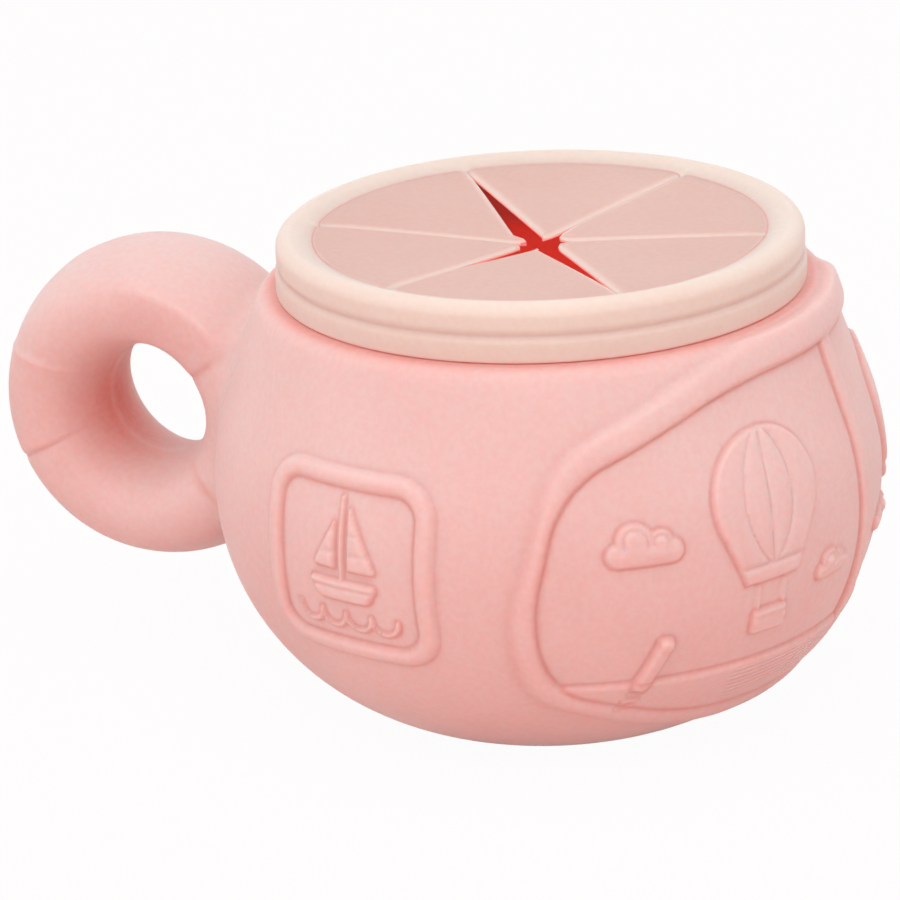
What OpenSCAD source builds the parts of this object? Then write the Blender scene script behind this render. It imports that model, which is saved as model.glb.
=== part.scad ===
// Toddler snack container: a round silicone bowl with a loop handle and a push-on lid
// whose thin top is cut into six flaps that a small hand reaches through.
// Origin: centre of the flat foot, on the table. +Z is up, +X is the nose, -X the handle.

/* [Bowl] */
// Radius of the bowl at its widest level
bowl_r = 57.3; // [54:0.1:60]
// Height of the widest level
wide_z = 38.5; // [37:0.5:40]
// Radius of the lower side in section
lower_arc_r = 42; // [41:0.5:44]
// Radius of the upper side in section
upper_arc_r = 44; // [42:0.5:48]
// Lean of the shoulder from upright, in degrees
shoulder_lean = 19.5; // [17:0.5:21]
// Height of the ledge under the lid
ledge_z = 72.5; // [70:0.1:75]
// Rounding of the shoulder at the ledge
shoulder_round = 3; // [2:0.1:3.5]
// Wall thickness
wall_t = 2.6; // [2:0.1:3.2]
// Floor thickness
floor_t = 3.2; // [2.5:0.1:4.5]
// Rounding of the foot edge
foot_round = 2; // [1:0.1:3]
// Rounding between the floor and the inner wall
floor_round = 16; // [10:0.5:20]
// Rounding inside the shoulder
inner_round = 8; // [6:0.5:9]

/* [Rim] */
// Inner radius of the mouth
mouth_r = 38.5; // [37:0.1:39.5]
// Thickness of the neck
neck_t = 2.8; // [2.4:0.1:3.2]
// Height of the rim above the ledge
rim_h = 7.5; // [6.5:0.1:9]
// Height of the bead round the top of the neck
bead_h = 3.4; // [2.6:0.1:4]
// Distance that the bead stands out from the neck
bead_out = 0.8; // [0.4:0.1:1]
// Rounding of the bead
rim_round = 0.8; // [0.4:0.1:1.2]

/* [Handle] */
// Distance from the widest point of the bowl to the middle of the ring
ring_out = 16.2; // [14:0.1:19]
// Height of the middle of the ring above the widest level
ring_up = 5.2; // [2:0.1:8]
// Radius of the ring's centre line
ring_r = 19.7; // [18.5:0.1:22]
// Half of the ring's thickness, from the finger hole outwards
ring_half_t = 9.75; // [8.5:0.05:10.5]
// Half of the ring's width
ring_half_w = 15; // [13:0.1:17]
// Radius of the ring's rounded sides in section
ring_side_r = 7.2; // [6.5:0.1:8]
// Distance that the grip band stands out from the ring
band_out = 0.35; // [0.2:0.05:0.6]
// Angle at which the grip band starts, from the bowl upwards round the ring
band_from = 148; // [130:1:160]
// Angle at which the grip band ends
band_to = 200; // [190:1:230]

/* [Lid] */
// Clearance between the skirt and the rim's bead
skirt_gap = 0.5; // [0.3:0.1:0.8]
// Thickness of the skirt
skirt_t = 2.4; // [2:0.1:2.6]
// Gap between the skirt and the ledge
lid_gap = 0.4; // [0.3:0.1:1]
// Height of the lower bead on the skirt
skirt_bead_h = 3.8; // [3:0.1:5]
// Width of the groove above the lower bead
groove_h = 0.8; // [0.5:0.1:1.2]
// Depth of that groove
groove_d = 0.6; // [0.3:0.1:0.8]
// Thickness of the lid over the rim
top_t = 2.4; // [2:0.1:3]
// Rounding of the lid's outer top edge
lid_round = 1.6; // [0.8:0.1:2]
// Width of the lid's raised edge
land_w = 7.5; // [7.3:0.1:8.2]
// Depth of the thin top below the raised edge
recess_d = 1.9; // [1.2:0.1:2.2]
// Thickness of the thin top
thin_t = 1.4; // [1.1:0.1:1.8]
// Depth of the plug lip in the mouth, below the lid's top
plug_h = 6.5; // [5:0.1:8]
// Thickness of the plug lip
plug_t = 1.5; // [1.2:0.1:1.8]
// Clearance between the plug lip and the mouth
plug_gap = 0.35; // [0.3:0.05:0.6]

/* [Flaps] */
// Distance from the slit ends to the lid's raised edge
slit_margin = 1.7; // [1.2:0.1:3]
// Width of a slit
slit_w = 0.3; // [0.2:0.05:0.6]
// Radius of the hole where the slits meet
tip_hole_r = 1.8; // [1:0.1:3]
// Turn of the first slit from the nose, in degrees
slit_turn = 12.5; // [0:0.5:60]
// Width of the moulded groove along each slit
score_w = 2.4; // [1.6:0.1:3]
// Depth of that groove
score_d = 0.5; // [0.3:0.05:0.7]
// Sag of each flap at rest, in degrees
flap_sag = 3; // [0:0.5:5]
// Lowest a flap bends, into the bowl, in degrees from level
bend_down = 70; // [45:1:75]
// Highest a flap bends, in degrees from level
bend_up = 50; // [30:1:60]
// Running clearance round the bending line
fold_gap = 0.06; // [0.04:0.01:0.1]
// Distance from a flap's bending edge to the slit ends
fold_end_gap = 0.8; // [0.6:0.1:1.5]

/* [Windows] */
// Direction of the side windows, in degrees from the nose
window_dir = 103; // [98:1:108]
// Height of the middle of the side windows above the widest level
window_up = 1.1; // [-2:0.1:4]
// Width of a side window over its frame
window_w = 34.6; // [30:0.1:38]
// Height of a side window over its frame
window_h = 33.5; // [30:0.1:37]
// Corner radius of a side window over its frame
window_corner = 7.5; // [5:0.1:9]
// Width of the side window's frame
window_frame_w = 3.1; // [2.4:0.1:4]
// Height of the side window's frame above the bowl
window_out = 1; // [0.6:0.1:1.4]

/* [Windscreen] */
// Direction in which each half of the windscreen faces, in degrees from the nose
screen_dir = 35; // [33:0.5:37]
// Reach of each half from its middle, back along the side
screen_reach = 36; // [33:0.5:37]
// Lowest level of the frame, at the nose
screen_low = 4; // [3:0.5:8]
// Drop of the frame's upper edge from the ledge to its rear corner
screen_brow = 13; // [11:0.5:15]
// Rise of the frame's lower edge from the nose to its rear corner
screen_cheek = 13; // [11:0.5:15]
// Width of the frame
screen_frame_w = 4.6; // [3.6:0.1:5.2]
// Height of the frame above the bowl
screen_out = 1.3; // [0.8:0.1:1.6]
// Width of the post between the halves
post_w = 4.4; // [3.4:0.1:5.4]
// Level of the dashboard's upper edge
dash_z = 19.6; // [17:0.1:22]
// Height of the dashboard above the bowl
dash_out = 0.7; // [0.4:0.1:0.9]

/* [Pictures] */
// Height of the pictures above the bowl
picture_out = 0.7; // [0.4:0.1:0.9]
// Width of the lines in the pictures
picture_line = 0.9; // [0.7:0.1:1.2]
// Radius of the balloon
balloon_r = 11; // [9:0.1:12]
// Width of the large cloud
cloud_w = 13; // [9:0.1:14]
// Width of the sailing boat
boat_w = 17; // [13:0.1:18]
// Length of the lever on the dashboard
lever_len = 11; // [8:0.1:13]
// Thickness of the lever
lever_t = 3; // [2.2:0.1:3.6]
// Lean of the lever towards the nose, in degrees
lever_lean = 18; // [5:1:30]

/* [Hidden] */
$fn = 96;

pink = [0.95, 0.73, 0.71];
milky = [0.96, 0.88, 0.84];

cut = 1;            // how far a cutting shape runs past the face that it cuts
big = 2 * bowl_r;   // longer than any section of the bowl

rim_z = ledge_z + rim_h;
bead_r = mouth_r + neck_t + bead_out;
lid_r = bead_r + skirt_gap + skirt_t;
lid_low_z = ledge_z + lid_gap;
lid_top_z = rim_z + top_t;
recess_r = lid_r - land_w;
thin_z = lid_top_z - recess_d;
plug_r = mouth_r - plug_gap;
ring_x = bowl_r + ring_out;
ring_z = wide_z + ring_up;

flap_count = 6;
flap_angle = 360 / flap_count;
slit_r = recess_r - slit_margin;
fold_r = slit_r * cos(flap_angle / 2);
fold_z = thin_z - thin_t / 2;

// Places of the pictures: across the pane from its middle, towards the nose, and above the table
balloon_at = [7, wide_z + 10];
cloud_at = [-16, wide_z + 5];
small_cloud_at = [22, wide_z - 7];
lever_at = [-14, dash_z + 3.5];
window_at = [0, wide_z + window_up];
boat_at = window_at - [0, 1];

// Points of an arc about c from angle a to angle b in n steps, from the point numbered first
function arc(c, r, a, b, n = 8, first = 0) =
    [for (i = [first:n]) let (t = a + (b - a) * i / n) c + r * [cos(t), sin(t)]];

// The polygon p with its corners rounded to the radii r, where 0 leaves a corner sharp
function rounded(p, r) = [
    for (i = [0:len(p) - 1])
        let (b = p[i], back = p[(i + len(p) - 1) % len(p)] - b, on = p[(i + 1) % len(p)] - b,
             u = back / norm(back), v = on / norm(on), half = acos(u * v) / 2,
             c = b + (u + v) / norm(u + v) * r[i] / sin(half), t = b + u * r[i] / tan(half) - c,
             start = atan2(t[1], t[0]), turn = sign(cross(v, u)) * (180 - 2 * half))
            each (r[i] == 0 ? [b] : arc(c, r[i], start, start + turn))
];

module mirrored() {
    children();
    mirror([0, 1, 0]) children();
}

// Half section of the bowl between the levels low and high, with its corners there rounded:
// the lower arc, the upper arc and the leaning shoulder, all moved outwards by grow
function half_section(grow, low, low_r, high, high_r) =
    let (c = [bowl_r - lower_arc_r, wide_z], d = [bowl_r - upper_arc_r, wide_z],
         R = lower_arc_r + grow, U = upper_arc_r + grow, lean = shoulder_lean, h = wide_z - low - low_r,
         m = [c[0] + sqrt(pow(R - low_r, 2) - h * h), low + low_r], meet = -asin(h / (R - low_r)),
         t = d + U * [cos(lean), sin(lean)],
         k = [t[0] - (high_r + sin(lean) * (high - high_r - t[1])) / cos(lean), high - high_r])
    concat([[0, low]],
           arc(m, low_r, -90, meet, 3),
           arc(c, R, meet, 0, 12, first = 1),
           arc(d, U, 0, lean, 5, first = 1),
           arc(k, high_r, lean, 90, 5),
           [[0, high]]);

module outer_section(grow = 0) {
    polygon(half_section(grow, 0, foot_round, ledge_z, shoulder_round));
}

module inner_section() {
    ceiling_z = ledge_z - wall_t;
    polygon(half_section(-wall_t, floor_t, floor_round, ceiling_z, inner_round));
    translate([0, ceiling_z - cut]) square([mouth_r, rim_h + wall_t + 2 * cut]);
}

// The skin in which the reliefs stand, from inside the wall to their outer face
module relief_skin(out) {
    rotate_extrude() difference() {
        outer_section(out);
        outer_section(-wall_t / 2);
    }
}

// A flat outline pushed outwards through the wall in the direction dir
module outwards(dir) {
    rotate([0, 0, dir]) translate([bowl_r / 3, 0, 0]) rotate([90, 0, 90])
        linear_extrude(bowl_r) children();
}

module rounded_rect(w, h, r) {
    square([w - 2 * r, h], center = true);
    square([w, h - 2 * r], center = true);
    for (x = [-1, 1], y = [-1, 1]) translate([x * (w / 2 - r), y * (h / 2 - r)]) circle(r);
}

module window_frame() {
    intersection() {
        relief_skin(window_out);
        outwards(-window_dir) translate(window_at) difference() {
            rounded_rect(window_w, window_h, window_corner);
            rounded_rect(window_w - 2 * window_frame_w, window_h - 2 * window_frame_w,
                         window_corner - window_frame_w);
        }
    }
}

// Outline of one half of the windscreen, inset by w from its frame's outer edge. Each row has
// a corner of that edge, its move for each millimetre of inset, and its rounding. The first
// and last corners lie just past the nose, where the other half takes over.
module screen_outline(w = 0) {
    nose = bowl_r * sin(screen_dir) + post_w;
    side = -screen_reach;
    corners = [
        [[nose, ledge_z], [0, -1.3], 0],
        [[4, ledge_z + 0.6], [0, -1.35], 60],
        [[side + 8, ledge_z - screen_brow], [0, -1.1], 18],
        [[side - 1.5, wide_z - 6], [0.85, 0], 24],
        [[side + 5, screen_low + screen_cheek], [0.6, 0.5], 14],
        [[-4, screen_low + 2], [0, 1], 60],
        [[nose, screen_low], [0, 1], 0]
    ];
    polygon(rounded([for (c = corners) c[0] + w * c[1]], [for (c = corners) c[2]]));
}

module windscreen_frame() {
    intersection() {
        relief_skin(screen_out);
        difference() {
            mirrored() outwards(-screen_dir) screen_outline();
            difference() {
                mirrored() outwards(-screen_dir) screen_outline(screen_frame_w);
                translate([0, -post_w / 2, 0]) cube([big, post_w, ledge_z]);
            }
        }
    }
}

module dashboard() {
    intersection() {
        relief_skin(dash_out);
        outwards(-screen_dir) intersection() {
            screen_outline(screen_frame_w / 2);
            translate([-big / 2, 0]) square([big, dash_z]);
        }
    }
}

// A round balloon with a neck below it, two seams, a band, two ropes and a basket
module balloon(r) {
    neck = [r * cos(60), -1.3 * r];
    basket_z = -1.95 * r;
    difference() {
        union() {
            circle(r);
            polygon([neck, [r * cos(30), -r / 2], [-r * cos(30), -r / 2], [-neck[0], neck[1]]]);
        }
        for (x = [-1, 1]) translate([-x * r, 0]) difference() {
            circle(1.45 * r);
            circle(1.45 * r - picture_line);
            translate([-2 * r, -2 * r]) square([4 * r, 1.15 * r]);
        }
        translate([0, -r]) square([2 * r, picture_line], center = true);
    }
    for (x = [-1, 1]) translate([x * r / 4 - picture_line / 2, basket_z])
        square([picture_line, neck[1] - basket_z + cut]);
    translate([0, basket_z]) rounded_rect(0.7 * r, 0.45 * r, 0.1 * r);
}

module cloud(w) {
    rounded_rect(w, 0.34 * w, 0.169 * w);
    translate([-0.12 * w, 0.16 * w]) circle(0.25 * w);
    translate([0.2 * w, 0.12 * w]) circle(0.18 * w);
}

// A boat with two sails above a row of waves
module boat(w) {
    line = picture_line;
    polygon(rounded([[-w / 2, 0], [-w / 3, -0.27 * w], [w / 3, -0.27 * w], [w / 2, 0]], [1, 2, 2, 1]));
    translate([-line / 2, -cut]) square([line, 0.95 * w + cut]);
    polygon(rounded([[line, 1.3 * line], [0.48 * w, 1.3 * line], [line, 0.9 * w]], [0.4, 0.8, 0.4]));
    polygon(rounded([[-line, 1.3 * line], [-line, 0.72 * w], [-0.42 * w, 1.3 * line]], [0.4, 0.4, 0.8]));
    for (x = [-1.5:1.5]) translate([x * w / 3, -0.42 * w]) difference() {
        circle(w / 6 + line / 2);
        circle(w / 6 - line / 2);
        translate([0, w / 4 + 0.04 * w]) square(w / 2, center = true);
    }
}

module pictures() {
    intersection() {
        relief_skin(picture_out);
        union() {
            outwards(-screen_dir) {
                translate(balloon_at) balloon(balloon_r);
                translate(cloud_at) cloud(cloud_w);
                translate(small_cloud_at) cloud(0.7 * cloud_w);
            }
            outwards(-window_dir) translate(boat_at) boat(boat_w);
        }
    }
}

module lever() {
    intersection() {
        relief_skin(2 * dash_out);
        outwards(-screen_dir) translate(lever_at) rotate(-lever_lean)
            rounded_rect(lever_t, lever_len, 0.45 * lever_t);
    }
}

module bowl() color(pink) {
    rotate_extrude() difference() {
        union() {
            outer_section();
            translate([mouth_r - cut, ledge_z - cut]) square([neck_t + cut, rim_h + cut - rim_round]);
            translate([(mouth_r + bead_r) / 2, rim_z - bead_h / 2])
                rounded_rect(bead_r - mouth_r, bead_h, rim_round);
        }
        inner_section();
    }
    windscreen_frame();
    mirrored() {
        window_frame();
        dashboard();
        lever();
        pictures();
    }
}

// Section of the ring: two flat-curved faces and two rounded sides that meet them smoothly
module ring_section(grow = 0) {
    a = ring_half_w + grow;
    b = ring_half_t + grow;
    r = ring_side_r + grow;
    d = a - r;
    k = (d * d - pow(b - r, 2)) / (2 * (b - r));
    meet = d * (b + k) / (b + k - r);
    intersection() {
        translate([-k, 0]) circle(b + k);
        translate([k, 0]) circle(b + k);
        square([2 * big, 2 * meet], center = true);
    }
    for (y = [-1, 1]) translate([0, y * d]) circle(r);
}

module handle() color(pink) {
    difference() {
        translate([-ring_x, 0, ring_z]) rotate([90, 0, 0]) {
            rotate_extrude() translate([ring_r, 0]) ring_section();
            rotate([0, 0, band_from]) rotate_extrude(angle = band_to - band_from)
                translate([ring_r, 0]) ring_section(band_out);
        }
        rotate_extrude() outer_section();
    }
}

// Moulded groove along +X, cut into a face at the level 0
module groove(len) {
    rotate([90, 0, 90]) linear_extrude(len)
        polygon([[0, -score_d], [score_w, score_d], [-score_w, score_d]]);
}

// Places a shape drawn at a bending line, +X towards the middle of the lid, at flap i
module at_fold(i) {
    rotate([0, 0, slit_turn + (i - 0.5) * flap_angle]) translate([fold_r, 0, fold_z])
        mirror([1, 0, 0]) children();
}

// Space that a flap sweeps at its bending line
module fold_space() {
    r = thin_t / 2 + fold_gap;
    far = 3 * thin_t;
    low = r * [-sin(bend_down), -cos(bend_down)];
    high = r * [-sin(bend_up), cos(bend_up)];
    rotate([90, 0, 0]) linear_extrude(slit_r, center = true) {
        circle(r);
        polygon([low, low + far * [cos(bend_down), -sin(bend_down)], [far, 0],
                 high + far * [cos(bend_up), sin(bend_up)], high, [0, 0]]);
    }
}

module lid_rim() color(milky) {
    difference() {
        rotate_extrude() difference() {
            union() {
                translate([recess_r, rim_z]) square([land_w - lid_round, top_t]);
                translate([lid_r - skirt_t, lid_low_z]) square([skirt_t, lid_top_z - lid_round - lid_low_z]);
                translate([lid_r - lid_round, lid_top_z - lid_round]) circle(lid_round);
                translate([plug_r - plug_t, lid_top_z - plug_h]) square([plug_t, plug_h - recess_d]);
                translate([0, thin_z - thin_t]) square([plug_r, thin_t]);
            }
            translate([lid_r, lid_low_z + skirt_bead_h + groove_h / 2])
                square([2 * groove_d, groove_h], center = true);
        }
        rotate([0, 0, slit_turn]) {
            translate([0, 0, thin_z - thin_t - cut])
                cylinder(thin_t + 2 * cut, r = slit_r, $fn = flap_count);
            for (i = [1:flap_count])
                rotate([0, 0, i * flap_angle]) translate([0, 0, thin_z]) groove(recess_r);
        }
        for (i = [1:flap_count]) at_fold(i) fold_space();
    }
}

module flap(i) color(milky) {
    half_len = slit_r / 2 - fold_end_gap;
    tip_x = fold_r - slit_w / 2 / sin(flap_angle / 2);
    side_x = tip_x - half_len / tan(flap_angle / 2);
    at_fold(i) rotate([0, flap_sag, 0]) difference() {
        union() {
            rotate([90, 0, 0]) cylinder(2 * half_len, r = thin_t / 2, center = true);
            translate([0, 0, -thin_t / 2]) linear_extrude(thin_t)
                polygon([[0, half_len], [0, -half_len],
                         [side_x, -half_len], [tip_x, 0], [side_x, half_len]]);
        }
        translate([fold_r, 0, -thin_t]) cylinder(2 * thin_t, r = tip_hole_r);
        for (side = [-1, 1]) translate([fold_r, 0, thin_t / 2]) rotate([0, 0, 180 + side * flap_angle / 2])
            groove(slit_r + cut);
    }
}

module flap_1() flap(1);
module flap_2() flap(2);
module flap_3() flap(3);
module flap_4() flap(4);
module flap_5() flap(5);
module flap_6() flap(6);

bowl();
handle();
lid_rim();
flap_1();
flap_2();
flap_3();
flap_4();
flap_5();
flap_6();
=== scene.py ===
# Looks of the toddler snack container: the moulded silicone bowl with its ring handle and
# raised window frames, and the milky lid with six soft flaps.
import math

import bpy
import numpy as np
from mathutils import Matrix, Vector


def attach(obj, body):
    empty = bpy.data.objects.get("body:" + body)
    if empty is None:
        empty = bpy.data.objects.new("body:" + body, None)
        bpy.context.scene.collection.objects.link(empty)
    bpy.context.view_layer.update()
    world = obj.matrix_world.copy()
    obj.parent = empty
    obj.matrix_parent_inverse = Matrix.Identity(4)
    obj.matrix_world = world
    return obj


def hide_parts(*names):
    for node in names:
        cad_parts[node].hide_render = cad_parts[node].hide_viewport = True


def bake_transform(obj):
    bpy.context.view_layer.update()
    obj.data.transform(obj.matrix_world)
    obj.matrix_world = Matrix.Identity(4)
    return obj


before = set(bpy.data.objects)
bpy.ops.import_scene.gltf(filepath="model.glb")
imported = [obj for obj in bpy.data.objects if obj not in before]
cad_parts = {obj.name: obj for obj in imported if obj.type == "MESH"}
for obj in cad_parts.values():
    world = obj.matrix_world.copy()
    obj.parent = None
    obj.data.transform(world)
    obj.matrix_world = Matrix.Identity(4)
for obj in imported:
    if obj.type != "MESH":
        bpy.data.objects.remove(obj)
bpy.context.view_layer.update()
mm = 0.001

# Sizes of the pieces are in millimetres and degrees
bowlShape = {
    "radius": 57.3, "widestHeight": 38.5, "lowerArc": 42, "upperArc": 44,
    "shoulderLean": 19.5, "ledgeHeight": 72.5, "shoulderRound": 3, "lidRadius": 45, "footRound": 2,
    "wall": 2.6, "floor": 3.2, "floorRound": 16, "innerRound": 8,
    "mouthRadius": 38.5, "neck": 2.8, "rimHeight": 7.5, "beadHeight": 3.4, "beadOut": 0.8,
    "neckRound": 1, "spinSteps": 240, "pointSpacing": 1.5, "innerSpacing": 4,
    "flatSpacing": 5, "ceilingSpacing": 3, "reliefBack": -40,
    "coarseCut": 1.5, "fineCut": 0.62, "alignWithin": 0.2,
    "lidShadeFrom": 69, "lidShadeWidth": 2, "lidGlow": 0.45, "glowDepth": 1.3, "glowFade": 12,
}


def arcPoints(centre, radius, start, end, steps):
    angles = np.radians(np.linspace(start, end, steps + 1))
    return [(centre[0] + radius * math.cos(a), centre[1] + radius * math.sin(a)) for a in angles]


def stepsFor(radius, degrees, spacing):
    return max(2, round(abs(math.radians(degrees)) * radius / spacing))


def along(start, end, spacing):
    steps = max(1, round(math.dist(start, end) / spacing))
    return [(start[0] + (end[0] - start[0]) * i / steps, start[1] + (end[1] - start[1]) * i / steps)
            for i in range(steps + 1)]


def wallSection(inwards, low, lowRound, high, highRound, spacing):
    # The lower arc, the upper arc and the leaning shoulder, with rounded ends
    s = bowlShape
    lower, upper = s["lowerArc"] - inwards, s["upperArc"] - inwards
    lowerCentre = (s["radius"] - s["lowerArc"], s["widestHeight"])
    upperCentre = (s["radius"] - s["upperArc"], s["widestHeight"])
    drop = s["widestHeight"] - low - lowRound
    reach = math.sqrt((lower - lowRound) ** 2 - drop ** 2)
    meet = -math.degrees(math.asin(drop / (lower - lowRound)))
    turn = s["shoulderLean"]
    lean = math.radians(turn)
    leanStart = (upperCentre[0] + upper * math.cos(lean), upperCentre[1] + upper * math.sin(lean))
    endHeight = high - highRound
    slip = highRound + math.sin(lean) * (endHeight - leanStart[1])
    endRadius = leanStart[0] - slip / math.cos(lean)
    lowSteps = max(4, stepsFor(lowRound, 90 + meet, spacing))
    highSteps = max(5, stepsFor(highRound, 90 - turn, spacing))
    lowCorner = arcPoints((lowerCentre[0] + reach, low + lowRound), lowRound, -90, meet, lowSteps)
    lowerSide = arcPoints(lowerCentre, lower, meet, 0, stepsFor(lower, meet, spacing))
    upperSide = arcPoints(upperCentre, upper, 0, turn, stepsFor(upper, turn, spacing))
    highCorner = arcPoints((endRadius, endHeight), highRound, turn, 90, highSteps)
    straight = along(upperSide[-1], highCorner[0], spacing)
    return lowCorner + lowerSide[1:] + upperSide[1:] + straight[1:-1] + highCorner


def bowlSection():
    s = bowlShape
    outer = wallSection(0, 0, s["footRound"], s["ledgeHeight"], s["shoulderRound"],
                        s["pointSpacing"])
    foot = along((0, 0), outer[0], s["flatSpacing"])
    neckRadius = s["mouthRadius"] + s["neck"]
    rimTop = s["ledgeHeight"] + s["rimHeight"]
    bead = s["beadOut"]
    fillet, wallTop = s["neckRound"], s["ledgeHeight"] - s["wall"]
    neckCorner = arcPoints((neckRadius + fillet, s["ledgeHeight"] + fillet), fillet, 270, 180, 4)
    beadLow = arcPoints((neckRadius, rimTop - s["beadHeight"] + bead), bead, -90, 0, 4)
    beadHigh = arcPoints((neckRadius, rimTop - bead), bead, 0, 90, 4)
    mouth = arcPoints((s["mouthRadius"] + bead, rimTop - bead), bead, 90, 180, 4)
    under = arcPoints((s["mouthRadius"] + fillet, wallTop + fillet), fillet, 180, 270, 3)
    inner = wallSection(s["wall"], s["floor"], s["floorRound"], wallTop, s["innerRound"],
                        s["innerSpacing"])
    ceiling = along(under[-1], inner[-1], s["ceilingSpacing"])[1:-1]
    floor = along(inner[0], (0, s["floor"]), s["flatSpacing"])
    return (foot[:-1] + outer + neckCorner + beadLow + beadHigh + mouth + under
            + ceiling + inner[::-1] + floor[1:])


def wallRadius(z):
    # Radius of the bare outer wall at each height
    s = bowlShape
    dz = z - s["widestHeight"]
    arc = np.where(dz < 0, s["lowerArc"], s["upperArc"])
    arcRadius = s["radius"] - arc + np.sqrt(np.maximum(arc ** 2 - dz ** 2, 0))
    lean = math.radians(s["shoulderLean"])
    leanHeight = s["upperArc"] * math.sin(lean)
    leanStart = s["radius"] - s["upperArc"] * (1 - math.cos(lean))
    leanRadius = leanStart - (dz - leanHeight) * math.tan(lean)
    return np.where(dz > leanHeight, leanRadius, arcRadius)


def wallSlope(z, probe=0.05):
    # How much wider the wall gets for each millimetre of height
    return (wallRadius(z + probe) - wallRadius(z - probe)) / (2 * probe)


def deselectAll():
    if bpy.context.mode != "OBJECT":
        bpy.ops.object.mode_set(mode="OBJECT")
    bpy.ops.object.select_all(action="DESELECT")


def spinPiece(name, section, steps, centre=(0, 0, 0), axis=(0, 0, 1)):
    # A circle is reshaped to the section, in the XZ plane, and spun all the way round
    deselectAll()
    bpy.ops.mesh.primitive_circle_add(vertices=len(section), radius=1, fill_type="NOTHING")
    piece = bpy.context.active_object
    piece.name = piece.data.name = name
    for vertex, place in zip(piece.data.vertices, section):
        x, y, z = place if len(place) == 3 else (place[0], 0, place[1])
        vertex.co = (x * mm, y * mm, z * mm)
    bpy.ops.object.mode_set(mode="EDIT")
    bpy.ops.mesh.select_all(action="SELECT")
    bpy.ops.mesh.spin(steps=steps, angle=2 * math.pi, center=[c * mm for c in centre], axis=axis)
    bpy.ops.mesh.select_all(action="SELECT")
    bpy.ops.mesh.remove_doubles(threshold=1e-6)
    bpy.ops.mesh.delete_loose()
    bpy.ops.mesh.select_all(action="SELECT")
    bpy.ops.mesh.normals_make_consistent(inside=False)
    bpy.ops.object.mode_set(mode="OBJECT")
    bpy.ops.object.shade_smooth()
    return piece


def verticesOf(piece):
    points = np.empty(len(piece.data.vertices) * 3)
    piece.data.vertices.foreach_get("co", points)
    return points.reshape(-1, 3) / mm


def setVertices(piece, points):
    piece.data.vertices.foreach_set("co", (points * mm).ravel())
    piece.data.update()


def normalsOf(piece):
    normals = np.empty(len(piece.data.vertices) * 3)
    piece.data.vertex_normals.foreach_get("vector", normals)
    return normals.reshape(-1, 3)


# The reliefs are drawn in the plane of each pane: u runs across it, towards the nose, and z
# up. Every distance is positive inside an outline.
def circleInside(u, z, centre, radius):
    return radius - np.hypot(u - centre[0], z - centre[1])


def boxInside(u, z, centre, width, height, corner, lean=0):
    c, s = math.cos(math.radians(lean)), math.sin(math.radians(lean))
    du, dz = u - centre[0], z - centre[1]
    across = np.abs(du * c - dz * s) - width / 2 + corner
    upwards = np.abs(du * s + dz * c) - height / 2 + corner
    outside = np.hypot(np.maximum(across, 0), np.maximum(upwards, 0))
    return corner - outside - np.minimum(np.maximum(across, upwards), 0)


def outlineInside(u, z, corners):
    best = np.full(u.shape, 1e9)
    inside = np.zeros(u.shape, bool)
    for (x0, z0), (x1, z1) in zip(corners, corners[1:] + corners[:1]):
        ex, ez = x1 - x0, z1 - z0
        t = np.clip(((u - x0) * ex + (z - z0) * ez) / (ex * ex + ez * ez), 0, 1)
        best = np.minimum(best, np.hypot(u - x0 - t * ex, z - z0 - t * ez))
        if z0 != z1:
            inside ^= ((z0 > z) != (z1 > z)) & (u < ex * (z - z0) / ez + x0)
    return np.where(inside, best, -best)


def roundedOutline(corners, radii):
    points = []
    for i, radius in enumerate(radii):
        corner = Vector(corners[i])
        back = (Vector(corners[i - 1]) - corner).normalized()
        on = (Vector(corners[(i + 1) % len(corners)]) - corner).normalized()
        if radius == 0:
            points.append(tuple(corner))
            continue
        half = back.angle(on) / 2
        centre = corner + (back + on).normalized() * (radius / math.sin(half))
        touch = corner + back * (radius / math.tan(half)) - centre
        start = math.degrees(math.atan2(touch.y, touch.x))
        side = on.x * back.y - on.y * back.x
        turn = math.copysign(180 - 2 * math.degrees(half), side)
        points += arcPoints(centre, radius, start, start + turn, 8)
    return points


def smoothRise(distance, width):
    t = np.clip(distance / width, 0, 1)
    return t * t * (3 - 2 * t)


def roundRise(distance, width):
    # A quarter of an ellipse, upright at the outline and level after this width
    t = np.clip(distance / width, 0, 1)
    return np.sqrt(1 - (1 - t) ** 2)


def softRise(distance, width):
    # Like roundRise, but not quite upright at the outline
    t = np.clip(distance / width, 0, 1)
    return np.sin(t * math.pi / 2) ** 0.85


def groove(distance, width):
    return np.exp(-(distance / width) ** 2)


# The distance given where there is no line nearby
noLine = 9.0
# How far inside a raised edge a second line runs, along its rounding
secondLine = 0.4
windscreen = {
    "direction": 35, "reach": 36, "lowest": 4, "browDrop": 13, "cheekRise": 13,
    "frameWidth": 4.7, "height": 1.25, "browHeight": 1.65, "browFrom": 55, "browTo": 66,
    "roll": 1.8, "outerFade": 2.3, "outerSpread": 0.6,
    "postWidth": 4.4, "postHeight": 0.6, "postRound": 0.7, "postCrest": 0.35, "postFade": 1.5,
    "sillBack": 20.6, "sillNose": 18.7, "dashHeight": 0.8, "sillRound": 0.9, "dashUnder": 1.4,
    "ribbedFrom": 1, "ribbedTo": 8.5,
}


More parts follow.
